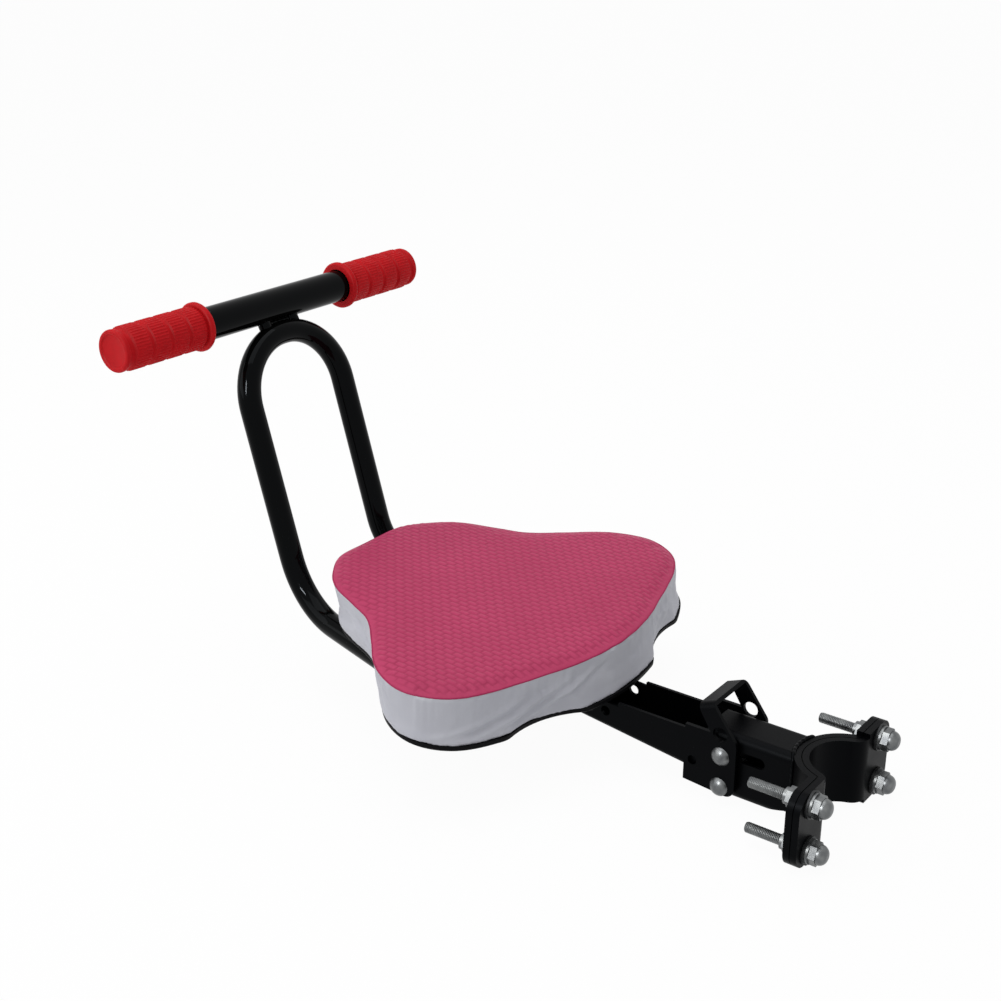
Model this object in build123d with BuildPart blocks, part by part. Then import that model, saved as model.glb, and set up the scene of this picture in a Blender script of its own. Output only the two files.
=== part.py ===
"""Child seat for the front of a bicycle: seat post clamp, folding arm, padded saddle and handle.

Millimetres. The origin is on the seat post's axis at mid clamp height.
+X points forward from the post to the handle, +Y to the left and +Z up.
"""
import os
from math import atan2, cos, radians, sin, sqrt, tan

from build123d import *

os.makedirs("parts", exist_ok=True)

# Clamp plates round the seat post
post_radius = 22.0
plate_thickness = 4.0
plate_gap = 0.5
flange_offset = 0.5
plate_half_span = 59.0
plate_height = 47.0
pocket_height = 41.5
pocket_bend = 10.0
relief_half_width = 30.0
relief_corner = 2.0
plate_corner = 11.0

# Clamp bolts
bolt_spread = 89.6
bolt_pitch = 30.0
bolt_diameter = 6.0
bolt_length = 40.0
bolt_flange_diameter = 15.0
bolt_flange_thickness = 1.6
bolt_hex = 12.5
bolt_hex_height = 4.2
bolt_dome_diameter = 12.0
bolt_dome_height = 5.0
bolt_dome_edge = 4.7
bolt_tip_chamfer = 0.5
washer_diameter = 17.0
washer_thickness = 1.5
nut_hex = 11.0
nut_height = 7.0
nut_collar_diameter = 9.8
nut_collar_height = 2.0
bolt_clearance = 0.25
thread_clearance = 0.1

# Rear arm, a rectangular tube
tube_width = 30.0
tube_height = 42.6
tube_top = 20.6
tube_wall = 2.5
tube_corner = 5.5
tube_end = 84.0
weld_gap = 0.1
heel_length = 15.0
heel_rise = 5.0
lock_slot_length = 17.0
lock_slot_height = 7.0
lock_slot_x = 53.1
lock_slot_z = 8.0

# Hinge
pivot_x = 71.3
pivot_z = 6.9
stop_drop = 20.7
rivet_diameter = 7.0
rivet_head_diameter = 12.0
rivet_head_height = 3.4
rivet_fit = 0.05
stop_clearance = 0.3
side_clearance = 0.4
stop_slot_sweep = 65.0

# Front arm, a channel that is open at the top
channel_wall = 2.0
channel_top = 16.8
channel_length = 225.0
channel_bend = 4.0
channel_notch = 4.0
ear_back = 8.0
ear_drop = 24.4
ear_front = 23.6
web_back = 25.3
web_drop = 16.6
web_slope = 6.6
cross_hole_diameter = 6.5
cross_hole_x = 153.6
cross_hole_z = 8.5

# Stirrup over the hinge
stirrup_thickness = 2.5
stirrup_back = 10.2
stirrup_front = 24.3
stirrup_shoulder = 10.6
stirrup_top = 14.1
stirrup_drop = 26.0
stirrup_toe_rise = 2.6
tongue_front = 7.0
strap_back_x = 7.0
strap_back_z = 33.6
strap_front_x = 16.8
strap_front_z = 29.6
stirrup_corner = 6.0
tongue_corner = 3.0
strap_bend = 5.0
tongue_hole_diameter = 9.5
tongue_hole_x = 0.8
tongue_hole_z = 14.6
plug_hole_diameter = 6.0
plug_hole_x = 18.6
plug_hole_z = -8.9

# Saddle
seat_base_z = 17.0
seat_tilt = 3.8
seat_rake = 14.0
seat_length = 207.0
lobe_half_width = 136.0
board_thickness = 3.5
board_edge = 1.5
board_lip = 0.0
cushion_inset = 0.5
scallop_radius = 69.0
scallop_depth = 15.0
scallop_v = 85.0
scallop_blend = 16.0
cushion_thickness = 27.0
panel_thickness = 3.5
panel_edge = 2.0
pan_thickness = 2.0
pan_rear_u = 30.0
pan_front_run = 58.0
pan_corner = 12.0
screw_diameter = 5.0
screw_head_diameter = 10.0
screw_head_height = 3.0
screw_edge_gap = 1.5
screw_rear_inset = 18.0
screw_side_gap = 1.0
screw_front_inset = 14.0

# Handle loop, bar and grips
loop_tube_diameter = 16.0
loop_tube_wall = 1.8
loop_spread = 89.0
loop_lean = 16.4
loop_foot_x = 382.0
loop_seat_gap = 18.8
loop_foot_bend = 50.0
loop_leg_length = 182.7
loop_top_bend = 43.3
run_length = 145.0
run_flare = 12.0
run_gap = 0.2
plug_head = 2.0
plug_spigot = 8.0
plug_fit = 0.1
bar_lean = 27.0
bar_gap = 0.6
bar_diameter = 22.0
bar_wall = 2.0
handle_width = 276.0
stud_diameter = 9.0
stud_spread = 26.0
grip_length = 72.0
grip_diameter = 29.0
grip_groove_diameter = 26.4
grip_groove_width = 2.4
grip_blocks = 4
grip_flange_diameter = 32.6
grip_flange_width = 4.5
grip_flange_edge = 2.0
grip_end_diameter = 27.4
grip_end_width = 4.2
grip_neck_width = 3.4
grip_neck_diameter = 25.0
grip_end_edge = 2.0
grip_end_wall = 4.0
grip_fit = 0.05

# Places worked out from the sizes above
far = 400.0
pick = 0.01
bolt_hole = bolt_diameter + 2 * bolt_clearance
rivet_hole = rivet_diameter + 2 * rivet_fit
plate_step = plate_thickness + plate_gap
nut_seat_x = flange_offset + plate_step + plate_thickness
head_seat_x = flange_offset - washer_thickness
tube_mid_z = tube_top - tube_height / 2
channel_inner = tube_width / 2 + side_clearance
channel_outer = channel_inner + channel_wall
stirrup_outer = channel_outer + stirrup_thickness
pivot = (pivot_x, pivot_z)
stop = (pivot_x, pivot_z - stop_drop)
pivot_plane = Plane(origin=(pivot_x, 0, pivot_z), x_dir=(1, 0, 0), z_dir=(0, -1, 0))
tilt = radians(seat_tilt)
rake = radians(seat_rake)
seat_along = Vector(cos(tilt), 0, sin(tilt))
seat_up = Vector(-sin(tilt), 0, cos(tilt))
seat_rear_x = loop_foot_x - loop_seat_gap - seat_length
seat_plane = Plane(origin=(seat_rear_x, 0, seat_base_z), x_dir=seat_along, z_dir=seat_up)
board_top = board_thickness
cushion_top = board_top + cushion_thickness
board_rear_x = seat_rear_x - cushion_top * tan(rake) - board_lip
lean = radians(loop_lean)
flare = radians(run_flare)
tube_radius = loop_tube_diameter / 2
foot_height = -run_gap - tube_radius
foot_u = (loop_foot_x - seat_rear_x + foot_height * sin(tilt)) / cos(tilt)
pan_front_u = foot_u - pan_front_run * cos(flare)
pan_side_gap = (tube_radius + run_gap) / cos(flare)
pan_front_v = loop_spread / 2 + pan_front_run * sin(flare) - pan_side_gap
pan_rear_v = loop_spread / 2 + run_length * sin(flare) - pan_side_gap


def clamp_section(depth):
    """Plan of a pressed clamp plate whose inner faces lie depth outside the post."""
    inner = post_radius + depth
    outer = inner + plate_thickness
    near = flange_offset + depth
    away = near + plate_thickness
    inner_corner = sqrt(inner**2 - near**2)
    outer_corner = sqrt(outer**2 - away**2)
    with BuildSketch(Plane.XY.offset(-plate_height / 2)) as section:
        Circle(outer)
        with Locations(((near + away) / 2, 0)):
            Rectangle(plate_thickness, 2 * plate_half_span)
        Circle(inner, mode=Mode.SUBTRACT)
        with Locations((near - far / 2, 0)):
            Rectangle(far, far, mode=Mode.SUBTRACT)
        inner_bends = section.vertices().filter_by(lambda v: abs(abs(v.Y) - inner_corner) < pick)
        fillet(inner_bends, pocket_bend - depth)
        outer_bends = section.vertices().filter_by(lambda v: abs(abs(v.Y) - outer_corner) < pick)
        fillet(outer_bends, pocket_bend - depth - plate_thickness)
    return section.sketch


def clamp_blank():
    """Front outline of a clamp plate: rounded flanges with a lower pocket between them."""
    relief = (plate_height - pocket_height) / 2
    with BuildSketch(Plane.YZ) as blank:
        Rectangle(2 * plate_half_span, plate_height)
        with GridLocations(0, plate_height, 1, 2):
            Rectangle(2 * relief_half_width, 2 * relief, mode=Mode.SUBTRACT)
        corners = blank.vertices()
        fillet(corners.filter_by(lambda v: abs(abs(v.X) - plate_half_span) < pick), plate_corner)
        fillet(corners.filter_by(lambda v: abs(abs(v.X) - relief_half_width) < pick), relief_corner)
    return blank.sketch


def bolt_circles(x, diameter):
    """One circle at each clamp bolt, on the cross plane at x."""
    with BuildSketch(Plane.YZ.offset(x)) as circles:
        with GridLocations(bolt_spread, bolt_pitch, 2, 2):
            Circle(diameter / 2)
    return circles.sketch


def bolt_hexagons(x, across_flats):
    """One hexagon at each clamp bolt, on the cross plane at x."""
    with BuildSketch(Plane.YZ.offset(x)) as hexagons:
        with GridLocations(bolt_spread, bolt_pitch, 2, 2):
            RegularPolygon(across_flats / 2, 6, major_radius=False)
    return hexagons.sketch


def side_circles(diameter, *places):
    """Circles on the middle plane of the arm, seen from the side."""
    with BuildSketch(Plane.XZ) as circles:
        with Locations(*places):
            Circle(diameter / 2)
    return circles.sketch


def rivet_section(z):
    """Half section of a rivet through both stirrup legs, with two domed heads."""
    shank = rivet_diameter / 2
    head = rivet_head_diameter / 2
    crown = stirrup_outer + rivet_head_height
    with BuildSketch(Plane(origin=(pivot_x, 0, z), x_dir=(1, 0, 0), z_dir=(0, 0, 1))) as section:
        with BuildLine():
            TangentArc((0, crown), (head, stirrup_outer), tangent=(1, 0))
            Polyline((head, stirrup_outer), (shank, stirrup_outer), (shank, 0))
            mirror(about=Plane.XZ)
            Line((0, crown), (0, -crown))
        make_face()
    return section.sketch


def seat_scallops(extra, mode):
    """Two large circles that bite into the saddle's rear edge, one on each side of the arm."""
    with Locations(*[(scallop_depth - scallop_radius, side * scallop_v) for side in (-1, 1)]):
        Circle(scallop_radius + extra, mode=mode)


def seat_outline(height, inset, scalloped=False):
    """Saddle outline at a height over the base plane, drawn in by inset and set back below the top."""
    stations = (
        (0.020, 0.272),
        (0.115, 0.735),
        (0.185, 0.919),
        (0.297, 1.000),
        (0.415, 0.954),
        (0.537, 0.787),
        (0.688, 0.592),
        (0.898, 0.446),
        (0.983, 0.272),
    )
    back = inset - (cushion_top - height) * tan(rake)
    front = back + seat_length - 2 * inset
    points = [(back + (front - back) * u, (lobe_half_width - inset) * v) for u, v in stations]
    with BuildSketch(seat_plane.offset(height)) as outline:
        with BuildLine():
            Spline((back, 0), *points, (front, 0), tangents=((0, 1), (0, -1)))
            mirror(about=Plane.XZ)
        make_face()
        if scalloped:
            seat_scallops(0, Mode.SUBTRACT)
            fillet(outline.vertices().filter_by(lambda v: abs(v.Y) > pick), scallop_blend)
    return outline.sketch


def pan_z(x):
    """Height of the seat pan's underside at x."""
    return seat_base_z + (x - seat_rear_x) * tan(tilt) - pan_thickness / cos(tilt)


def web_z(x):
    """Height of the channel's lower face at x."""
    return pivot_z - web_drop + (x - pivot_x - web_back) * tan(radians(web_slope))


# Two nested clamp plates: the outer one is welded to the arm, the inner one is loose
with BuildPart() as arm_clamp_plate:
    extrude(clamp_section(plate_step), amount=plate_height)
    extrude(clamp_blank(), amount=far, both=True, mode=Mode.INTERSECT)
    extrude(bolt_circles(0, bolt_hole), amount=far, mode=Mode.SUBTRACT)

with BuildPart() as loose_clamp_plate:
    extrude(clamp_section(0), amount=plate_height)
    extrude(clamp_blank(), amount=far, both=True, mode=Mode.INTERSECT)
    extrude(bolt_circles(0, bolt_hole), amount=far, mode=Mode.SUBTRACT)

# Clamp bolts with domed hexagon heads behind, washers under them and lock nuts in front
with BuildPart() as clamp_bolts:
    extrude(bolt_circles(head_seat_x, bolt_diameter), amount=bolt_length)
    extrude(bolt_circles(head_seat_x, bolt_flange_diameter), amount=-bolt_flange_thickness)
    hex_seat_x = head_seat_x - bolt_flange_thickness
    extrude(bolt_hexagons(hex_seat_x, bolt_hex), amount=-bolt_hex_height)
    dome_seat_x = hex_seat_x - bolt_hex_height
    extrude(bolt_circles(dome_seat_x, bolt_dome_diameter), amount=-bolt_dome_height)
    fillet(clamp_bolts.edges().group_by(Axis.X)[0], bolt_dome_edge)
    chamfer(clamp_bolts.edges().group_by(Axis.X)[-1], bolt_tip_chamfer)

with BuildPart() as clamp_washers:
    extrude(bolt_circles(head_seat_x, washer_diameter), amount=washer_thickness)
    extrude(bolt_circles(head_seat_x, bolt_hole), amount=washer_thickness, mode=Mode.SUBTRACT)

with BuildPart() as clamp_nuts:
    extrude(bolt_hexagons(nut_seat_x, nut_hex), amount=nut_height - nut_collar_height)
    extrude(bolt_circles(nut_seat_x, nut_collar_diameter), amount=nut_height)
    thread_hole = bolt_diameter + 2 * thread_clearance
    extrude(bolt_circles(nut_seat_x, thread_hole), amount=nut_height, mode=Mode.SUBTRACT)

# Rear arm: tube coped to the clamp plate, with a bevelled heel, a lock slot and the hinge's holes
with BuildPart() as rear_arm_tube:
    with BuildSketch(Plane.YZ) as tube_section:
        with Locations((0, tube_mid_z)):
            RectangleRounded(tube_width, tube_height, tube_corner)
            RectangleRounded(
                tube_width - 2 * tube_wall,
                tube_height - 2 * tube_wall,
                tube_corner - tube_wall,
                mode=Mode.SUBTRACT,
            )
    extrude(amount=tube_end)
    cope_radius = post_radius + plate_step + plate_thickness + weld_gap
    Cylinder(cope_radius, far, mode=Mode.SUBTRACT)
    with BuildSketch(Plane.XZ) as heel:
        tube_bottom = tube_top - tube_height
        with BuildLine():
            Polyline(
                (cope_radius + heel_length, tube_bottom),
                (cope_radius, tube_bottom + heel_rise),
                (0, tube_bottom + heel_rise),
                (0, tube_bottom),
                close=True,
            )
        make_face()
    extrude(amount=tube_width, both=True, mode=Mode.SUBTRACT)
    with BuildSketch(Plane.XZ) as lock_slot:
        with Locations((lock_slot_x, lock_slot_z)):
            SlotOverall(lock_slot_length, lock_slot_height)
    extrude(amount=tube_width, both=True, mode=Mode.SUBTRACT)
    extrude(side_circles(rivet_hole, pivot), amount=far, both=True, mode=Mode.SUBTRACT)
    with BuildSketch(Plane.XZ) as stop_slot:
        with BuildLine():
            stop_path = CenterArc(pivot, stop_drop, -90, stop_slot_sweep)
        SlotArc(stop_path, rivet_diameter + 2 * stop_clearance)
    extrude(amount=tube_width, both=True, mode=Mode.SUBTRACT)

# Front arm: a folded channel whose sides run back as hinge ears and whose web rises to the saddle
with BuildPart() as front_arm_channel:
    channel_front = pivot_x + channel_length
    ear_x = pivot_x - ear_back
    step_x = pivot_x + ear_front
    web_x = pivot_x + web_back
    notch_x = board_rear_x - channel_notch
    with BuildSketch(Plane.XZ) as channel_side:
        with BuildLine():
            Polyline(
                (ear_x, pivot_z - ear_drop),
                (step_x, pivot_z - ear_drop),
                (web_x, web_z(web_x)),
                (channel_front, web_z(channel_front)),
                (channel_front, pan_z(channel_front)),
                (notch_x, pan_z(notch_x)),
                (notch_x, channel_top),
                (ear_x, channel_top),
                close=True,
            )
        make_face()
    extrude(amount=channel_outer, both=True)
    web_edges = front_arm_channel.edges().filter_by(lambda e: e.length > channel_length / 2)
    fillet(web_edges.group_by(Axis.Z)[0], channel_bend)
    with BuildSketch(Plane.XZ) as channel_inside:
        with BuildLine():
            Polyline(
                (0, -far),
                (web_x, -far),
                (web_x, web_z(web_x) + channel_wall),
                (far, web_z(far) + channel_wall),
                (far, far),
                (0, far),
                close=True,
            )
        make_face()
    extrude(amount=channel_inner, both=True, mode=Mode.SUBTRACT)
    extrude(side_circles(rivet_hole, pivot, stop), amount=far, both=True, mode=Mode.SUBTRACT)
    cross_hole = (cross_hole_x, cross_hole_z)
    extrude(side_circles(cross_hole_diameter, cross_hole), amount=far, both=True, mode=Mode.SUBTRACT)

# Stirrup: one folded strap, its legs outside the channel's ears and its bridge over the tube
with BuildPart() as hinge_stirrup:
    strap_angle = atan2(strap_back_z - strap_front_z, strap_front_x - strap_back_x)
    lift = stirrup_thickness / cos(strap_angle)
    fall = (strap_back_z - strap_front_z) / (strap_front_x - strap_back_x)
    with BuildSketch(pivot_plane) as stirrup_side:
        with BuildLine():
            Polyline(
                (-stirrup_back, -stirrup_drop),
                (-stirrup_back, stirrup_shoulder),
                (strap_back_x, strap_back_z),
                (strap_front_x, strap_front_z),
                (tongue_front, stirrup_top),
                (stirrup_front, stirrup_top),
                (stirrup_front, -stirrup_drop + stirrup_toe_rise),
                close=True,
            )
        make_face()
        outline_corners = stirrup_side.vertices()
        fillet(outline_corners.filter_by(lambda v: abs(v.X + stirrup_back) < pick), stirrup_corner)
        fillet(outline_corners.filter_by(lambda v: abs(v.X - tongue_front) < pick), tongue_corner)
    extrude(amount=stirrup_outer, both=True)
    strap_length = (strap_front_x - strap_back_x) / cos(strap_angle)
    strap_edges = hinge_stirrup.edges().filter_by(lambda e: abs(e.length - strap_length) < pick)
    fillet(strap_edges.sort_by(Axis.Z)[-2:], strap_bend)
    with BuildSketch(pivot_plane) as stirrup_inside:
        with BuildLine():
            Polyline(
                (-far, strap_back_z + (strap_back_x + far) * fall - lift),
                (far, strap_back_z - (far - strap_back_x) * fall - lift),
                (far, -2 * far),
                (-far, -2 * far),
                close=True,
            )
        make_face()
    extrude(amount=channel_outer, both=True, mode=Mode.SUBTRACT)
    extrude(side_circles(rivet_hole, pivot, stop), amount=far, both=True, mode=Mode.SUBTRACT)
    tongue_hole = (pivot_x + tongue_hole_x, pivot_z + tongue_hole_z)
    extrude(side_circles(tongue_hole_diameter, tongue_hole), amount=far, both=True, mode=Mode.SUBTRACT)
    plug_hole = (pivot_x + plug_hole_x, pivot_z + plug_hole_z)
    extrude(side_circles(plug_hole_diameter, plug_hole), amount=far, both=True, mode=Mode.SUBTRACT)

# Two domed rivets: the upper one is the hinge pin, the lower one stops the arm
with BuildPart() as hinge_rivet:
    revolve(rivet_section(pivot_z), axis=Axis((pivot_x, 0, pivot_z), (0, 1, 0)))

with BuildPart() as stop_rivet:
    revolve(rivet_section(pivot_z - stop_drop), axis=Axis((pivot_x, 0, pivot_z - stop_drop), (0, 1, 0)))

# Saddle: a board, a foam cushion in its side band, the top panel and the screws from below
screw_rear_u = pan_rear_u + screw_rear_inset
screw_rear_spread = 2 * (pan_rear_v - screw_head_diameter / 2 - screw_edge_gap)
screw_front_u = pan_front_u - screw_front_inset
screw_front_spread = 2 * (channel_outer + screw_head_diameter / 2 + screw_side_gap)
screw_places = [
    (u, side * spread / 2)
    for u, spread in ((screw_rear_u, screw_rear_spread), (screw_front_u, screw_front_spread))
    for side in (-1, 1)
]


def screw_circles(height, diameter):
    """One circle at each seat screw, at a height over the base plane."""
    with BuildSketch(seat_plane.offset(height)) as circles:
        with Locations(*screw_places):
            Circle(diameter / 2)
    return circles.sketch


with BuildPart() as seat_board:
    extrude(seat_outline(0, -board_lip, scalloped=True), amount=board_top)
    underside = seat_board.faces().sort_by(Axis(seat_plane.origin, seat_up))[0]
    fillet(underside.edges(), board_edge)
    pilot_hole = screw_diameter + 2 * thread_clearance
    extrude(screw_circles(0, pilot_hole), amount=board_top, mode=Mode.SUBTRACT)

with BuildPart() as seat_cushion:
    side_line = seat_up * cos(rake) + seat_along * sin(rake)
    extrude(seat_outline(board_top, cushion_inset), amount=cushion_thickness / cos(rake), dir=side_line)
    with BuildSketch(seat_plane) as bites:
        seat_scallops(cushion_inset, Mode.ADD)
    extrude(bites.sketch, amount=cushion_top, mode=Mode.SUBTRACT)

with BuildPart() as seat_top_panel:
    extrude(seat_outline(cushion_top, 0), amount=panel_thickness)

with BuildPart() as seat_screws:
    extrude(screw_circles(-pan_thickness, screw_diameter), amount=pan_thickness + board_thickness)
    extrude(screw_circles(-pan_thickness, screw_head_diameter), amount=-screw_head_height)

# Handle loop: one bent tube, up from under the saddle, over the top and down again
def run_point(distance, side):
    """A point on the loop's run under the saddle, distance behind its foot."""
    u = foot_u - distance * cos(flare)
    v = side * (loop_spread / 2 + distance * sin(flare))
    return seat_plane.from_local_coords(Vector(u, v, foot_height))


def leg_top(side):
    """The upper corner of one leg."""
    return run_point(0, side) + Vector(sin(lean), 0, cos(lean)) * loop_leg_length


loop_points = [
    run_point(run_length, 1),
    run_point(0, 1),
    leg_top(1),
    leg_top(-1),
    run_point(0, -1),
    run_point(run_length, -1),
]
loop_bends = [loop_foot_bend, loop_top_bend, loop_top_bend, loop_foot_bend]

with BuildLine() as loop_path:
    FilletPolyline(*loop_points, radius=loop_bends)


def loop_section(radius):
    """A round section across the start of the loop's path."""
    with BuildSketch(Plane(origin=loop_path.wire() @ 0, z_dir=loop_path.wire() % 0)) as section:
        Circle(radius)
    return section.sketch


with BuildPart() as handle_loop:
    sweep(loop_section(tube_radius), path=loop_path.wire())
    sweep(loop_section(tube_radius - loop_tube_wall), path=loop_path.wire(), mode=Mode.SUBTRACT)

with BuildPart() as loop_end_plugs:
    for side in (1, -1):
        end = run_point(run_length, side)
        out = (end - run_point(0, side)).normalized()
        with BuildSketch(Plane(origin=end, z_dir=out)):
            Circle(tube_radius)
        extrude(amount=plug_head)
        with BuildSketch(Plane(origin=end, z_dir=out)):
            Circle(tube_radius - loop_tube_wall - plug_fit)
        extrude(amount=-plug_spigot)

# Seat pan: a steel plate between the loop's runs, welded to them and to the channel
with BuildPart() as seat_pan:
    with BuildSketch(seat_plane.offset(-pan_thickness)) as pan_outline:
        middle_u = foot_u - run_length * cos(flare)
        with BuildLine():
            Polyline(
                (pan_rear_u, 0),
                (pan_rear_u, pan_rear_v),
                (middle_u, pan_rear_v),
                (pan_front_u, pan_front_v),
                (pan_front_u, 0),
            )
            mirror(about=Plane.XZ)
        make_face()
        fillet(pan_outline.vertices().group_by(Axis.X)[0].filter_by(lambda v: abs(v.Y) > pick), pan_corner)
    extrude(amount=pan_thickness)
    screw_hole = screw_diameter + 2 * bolt_clearance
    extrude(screw_circles(-pan_thickness, screw_hole), amount=pan_thickness, mode=Mode.SUBTRACT)

# Handlebar: a straight tube on two short studs, with a moulded grip on each end
crown = (leg_top(1) + leg_top(-1)) / 2
stud_line = Vector(sin(radians(bar_lean)), 0, cos(radians(bar_lean)))
stud_rise = tube_radius + bar_gap + bar_diameter / 2
bar_plane = Plane(origin=crown + stud_line * stud_rise, x_dir=(1, 0, 0), z_dir=(0, 1, 0))
bar_length = handle_width - 2 * grip_end_wall

with BuildPart() as handlebar_tube:
    with BuildSketch(bar_plane):
        Circle(bar_diameter / 2)
        Circle(bar_diameter / 2 - bar_wall, mode=Mode.SUBTRACT)
    extrude(amount=bar_length / 2, both=True)

with BuildPart() as handle_studs:
    for side in (1, -1):
        foot = crown + Vector(0, side * stud_spread / 2, 0)
        with BuildSketch(Plane(origin=foot, z_dir=stud_line)):
            Circle(stud_diameter / 2)
        extrude(amount=stud_rise)
    with BuildSketch(bar_plane):
        Circle(bar_diameter / 2 + weld_gap)
    extrude(amount=bar_length / 2, both=True, mode=Mode.SUBTRACT)
    sweep(loop_section(tube_radius + weld_gap), path=loop_path.wire(), mode=Mode.SUBTRACT)


def grip(side):
    """A closed rubber grip: inner flange, ribbed blocks between grooves and an end disc."""
    inner_y = handle_width / 2 - grip_length
    blocks_start = inner_y + grip_flange_width
    end_start = handle_width / 2 - grip_end_width
    blocks_end = end_start - grip_neck_width + grip_groove_width / 2
    pitch = (blocks_end - blocks_start) / grip_blocks
    with BuildPart() as moulded:
        with BuildSketch(bar_plane.offset(inner_y)):
            Circle(grip_groove_diameter / 2)
        extrude(amount=blocks_end - inner_y)
        with BuildSketch(bar_plane.offset(blocks_end)):
            Circle(grip_neck_diameter / 2)
        extrude(amount=end_start - blocks_end)
        with BuildSketch(bar_plane.offset(inner_y)):
            Circle(grip_flange_diameter / 2)
        extrude(amount=grip_flange_width)
        flange_face = moulded.faces().filter_by(GeomType.CYLINDER).sort_by(SortBy.RADIUS)[-1]
        fillet(flange_face.edges().filter_by(GeomType.CIRCLE), grip_flange_edge)
        for block in range(grip_blocks):
            start = blocks_start + block * pitch + grip_groove_width / 2
            with BuildSketch(bar_plane.offset(start)):
                Circle(grip_diameter / 2)
            extrude(amount=pitch - grip_groove_width)
        with BuildSketch(bar_plane.offset(end_start)):
            Circle(grip_end_diameter / 2)
        extrude(amount=grip_end_width)
        fillet(moulded.edges().group_by(Axis.Y)[-1], grip_end_edge)
        with BuildSketch(bar_plane.offset(inner_y)):
            Circle(bar_diameter / 2 + grip_fit)
        extrude(amount=grip_length - grip_end_wall, mode=Mode.SUBTRACT)
    if side < 0:
        return mirror(moulded.part, about=Plane.XZ)
    return moulded.part


grip_left = grip(1)
grip_right = grip(-1)

pieces = {
    "arm_clamp_plate": arm_clamp_plate.part,
    "loose_clamp_plate": loose_clamp_plate.part,
    "clamp_bolts": clamp_bolts.part,
    "clamp_washers": clamp_washers.part,
    "clamp_nuts": clamp_nuts.part,
    "rear_arm_tube": rear_arm_tube.part,
    "front_arm_channel": front_arm_channel.part,
    "hinge_stirrup": hinge_stirrup.part,
    "hinge_rivet": hinge_rivet.part,
    "stop_rivet": stop_rivet.part,
    "seat_pan": seat_pan.part,
    "seat_board": seat_board.part,
    "seat_cushion": seat_cushion.part,
    "seat_top_panel": seat_top_panel.part,
    "seat_screws": seat_screws.part,
    "handle_loop": handle_loop.part,
    "loop_end_plugs": loop_end_plugs.part,
    "handle_studs": handle_studs.part,
    "handlebar_tube": handlebar_tube.part,
    "grip_left": grip_left,
    "grip_right": grip_right,
}
for name, piece in pieces.items():
    piece.label = name
    export_step(piece, f"parts/{name}.step")
    print(name, len(piece.solids()), round(piece.volume))
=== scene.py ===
# %% [markdown]
# # A child's bicycle seat
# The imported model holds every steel, plastic and fastener solid in its true place. This lesson loads it as
# a fixed frame, photographs it from the same place as the original, and adds what solids can't give: the
# padded saddle with its embossed top, the ribbed rubber grips, bolt threads, weld beads and the finishes.

# %% Load the frame
import math

import bpy
import numpy as np
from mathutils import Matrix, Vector


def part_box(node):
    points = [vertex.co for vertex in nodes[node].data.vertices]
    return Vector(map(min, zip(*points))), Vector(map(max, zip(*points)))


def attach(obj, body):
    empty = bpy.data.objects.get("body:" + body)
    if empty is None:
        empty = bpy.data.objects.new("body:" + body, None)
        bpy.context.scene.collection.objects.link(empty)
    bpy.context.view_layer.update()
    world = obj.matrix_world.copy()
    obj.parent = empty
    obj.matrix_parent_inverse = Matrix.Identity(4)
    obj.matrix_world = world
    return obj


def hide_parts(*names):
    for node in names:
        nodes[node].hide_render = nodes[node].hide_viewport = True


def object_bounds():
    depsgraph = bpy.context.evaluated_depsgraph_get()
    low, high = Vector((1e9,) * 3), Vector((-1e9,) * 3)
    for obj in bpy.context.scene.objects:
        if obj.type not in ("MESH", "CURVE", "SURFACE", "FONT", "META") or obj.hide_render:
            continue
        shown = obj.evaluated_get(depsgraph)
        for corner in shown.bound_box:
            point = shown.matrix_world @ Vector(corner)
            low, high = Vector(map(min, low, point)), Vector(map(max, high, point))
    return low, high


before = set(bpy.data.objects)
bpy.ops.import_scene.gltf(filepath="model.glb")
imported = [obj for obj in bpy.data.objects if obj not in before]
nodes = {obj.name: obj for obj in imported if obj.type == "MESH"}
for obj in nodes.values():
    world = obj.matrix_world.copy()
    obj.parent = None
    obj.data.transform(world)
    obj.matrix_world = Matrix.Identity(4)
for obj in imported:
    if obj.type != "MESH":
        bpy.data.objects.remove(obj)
cad_low, cad_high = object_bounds()
scene = bpy.context.scene
for name in ("Cube", "Light", "Camera"):
    if name in bpy.data.objects:
        bpy.data.objects.remove(bpy.data.objects[name])
bpy.ops.object.select_all(action="DESELECT")
mm = 0.001
print("frame", len(nodes), "nodes, size in mm", [round(v / mm) for v in cad_high - cad_low])

# %% [markdown]
# ## Two small helpers
# Colours are given as sRGB hex values, but shaders work in linear light, so one function converts
# them. A second one adds a shader node with its settings and links, so that each finish reads as a recipe.


# %% Colour and node helpers
def linear(hex_colour):
    """An sRGB hex colour as linear red, green, blue and alpha."""
    parts = [int(hex_colour[i:i + 2], 16) / 255 for i in (1, 3, 5)]
    return [c / 12.92 if c <= 0.04045 else ((c + 0.055) / 1.055) ** 2.4 for c in parts] + [1.0]


def add_node(tree, kind, settings=None, links=None):
    """A node with its settings, on sockets or on itself, and its links from other sockets."""
    made = tree.nodes.new(kind)
    for key, value in (settings or {}).items():
        if isinstance(key, int) or key in made.inputs:
            made.inputs[key].default_value = value
        else:
            setattr(made, key, value)
    for key, socket in (links or {}).items():
        tree.links.new(socket, made.inputs[key])
    return made


def new_finish(name, settings):
    """A material with these Principled values; gives the material, its tree and the shader."""
    material = bpy.data.materials.new(name)
    material.use_nodes = True
    shader = material.node_tree.nodes["Principled BSDF"]
    for key, value in settings.items():
        shader.inputs[key].default_value = value
    return material, material.node_tree, shader


# %% [markdown]
# ## Camera
# The camera's place was worked out from straight edges and circles in the photograph. It stands behind the
# clamp on the seat's left, a little above it, with a short telephoto lens.

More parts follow.
